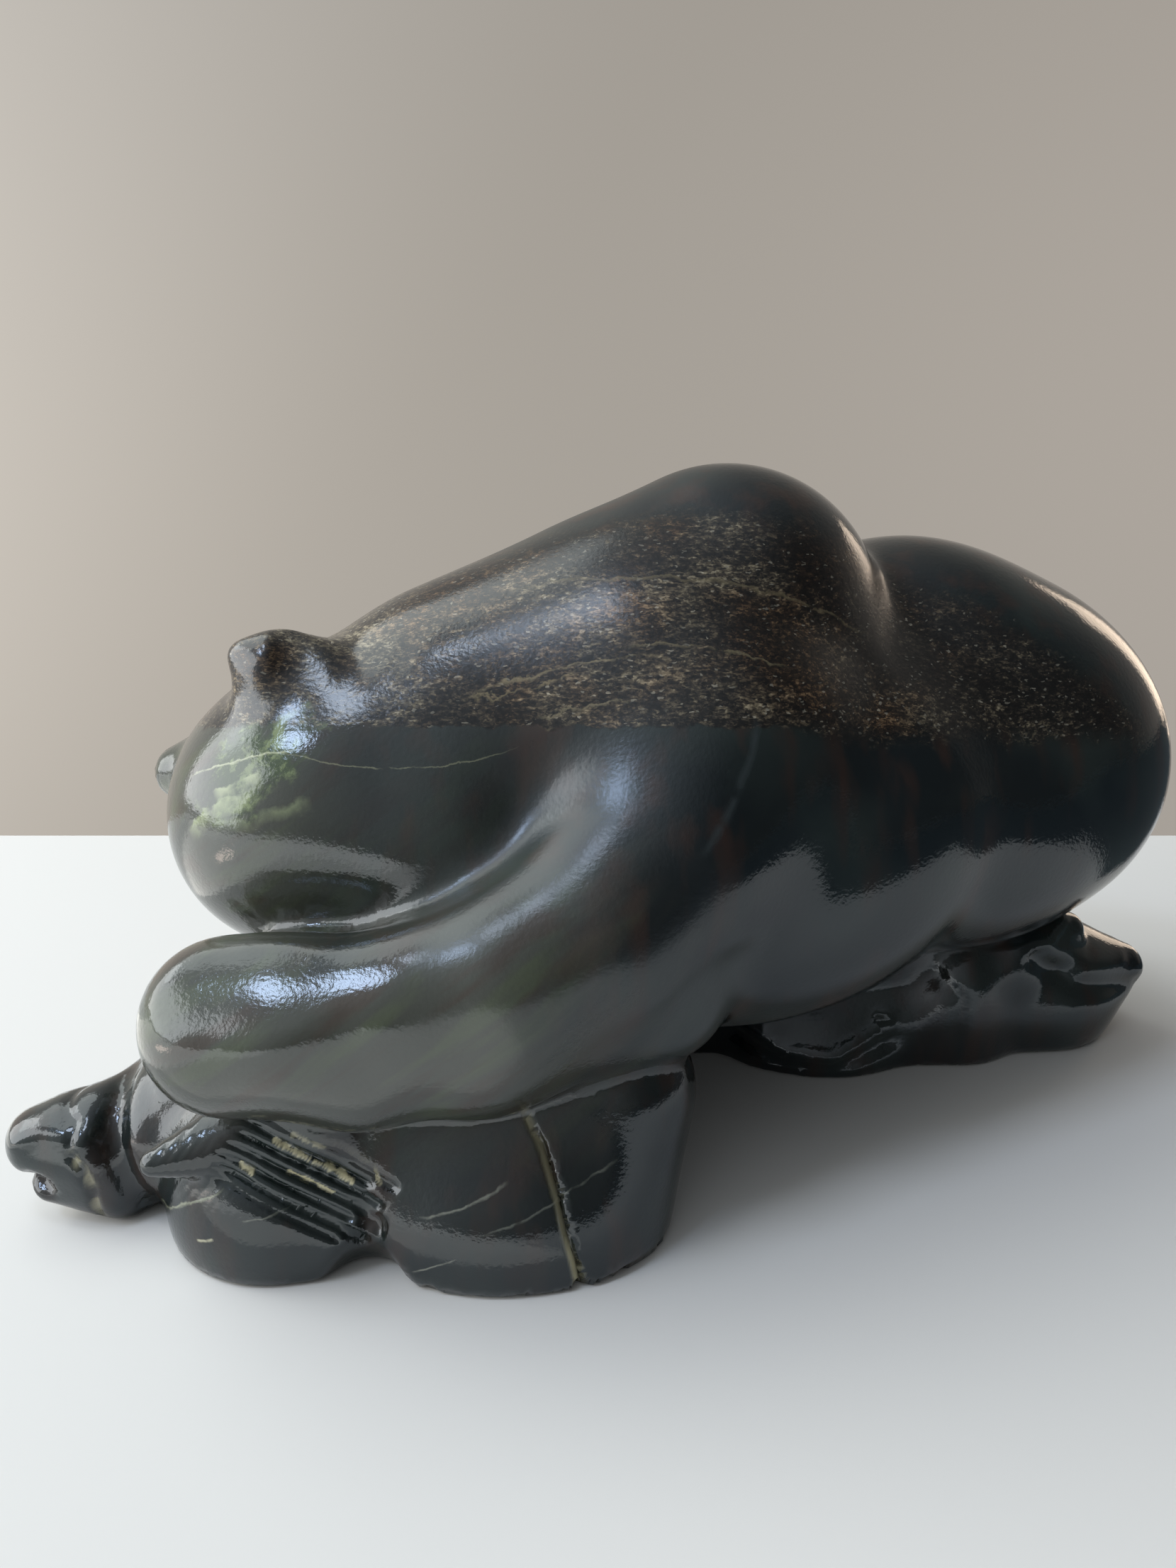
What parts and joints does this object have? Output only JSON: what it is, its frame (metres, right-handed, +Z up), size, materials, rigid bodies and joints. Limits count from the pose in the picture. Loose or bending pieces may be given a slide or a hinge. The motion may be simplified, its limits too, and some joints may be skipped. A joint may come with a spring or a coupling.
{
  "type": "stone bear carving",
  "caption": "Polished green stone figure of a bear lying over its catch, carved in one piece with its base; stands by its own weight.",
  "frame": {"origin": "middle of the bounding box, at the height of the flat underside", "axes": "+X towards the rump, -X towards the head and the catch's snout, -Y the side seen in the picture, +Z up"},
  "size_m": [0.2736, 0.1648, 0.1514],
  "materials": {
    "polished_green_stone": "gloss"
  },
  "bodies": {
    "root": {"bear_carving": "polished_green_stone"}
  },
  "joints": []
}
